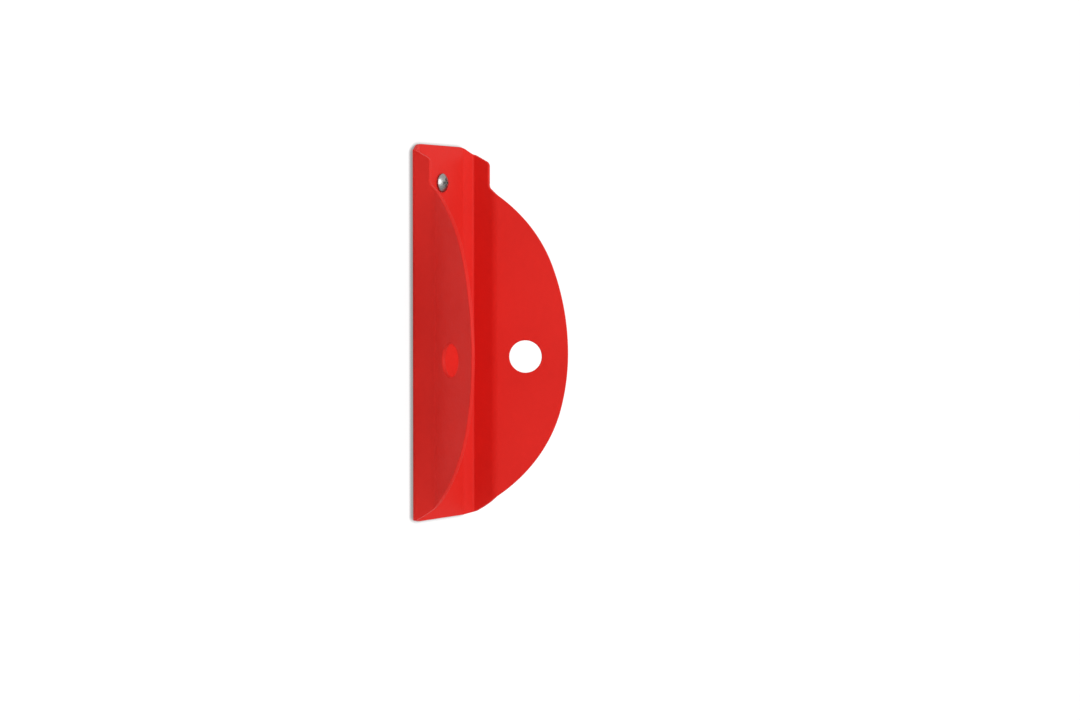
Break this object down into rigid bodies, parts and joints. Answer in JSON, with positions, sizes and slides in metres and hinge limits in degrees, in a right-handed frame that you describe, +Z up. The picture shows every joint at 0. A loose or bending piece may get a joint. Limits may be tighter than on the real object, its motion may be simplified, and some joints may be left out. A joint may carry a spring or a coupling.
{
  "type": "bicycle wall rack",
  "caption": "Wall-mounted bicycle rack: a bent sheet-steel bracket whose flared wings hold a tyre between them, with a lock hole in each wing, screwed into wall plugs.",
  "frame": {"origin": "on the wall plane, at the centre of the web's back, midway between the two screws", "axes": "+Y into the wall, +Z up along the web, +X to the side; the wings open towards -Y"},
  "size_m": [0.123, 0.1236, 0.25],
  "materials": {
    "red_powder_coat": "satin powder coat",
    "zinc_plated_steel": "bright zinc plate",
    "grey_nylon": "moulded nylon"
  },
  "bodies": {
    "root": {"bracket": "red_powder_coat", "upper_screw": "zinc_plated_steel", "lower_screw": "zinc_plated_steel", "upper_wall_plug": "grey_nylon", "lower_wall_plug": "grey_nylon"}
  },
  "joints": []
}
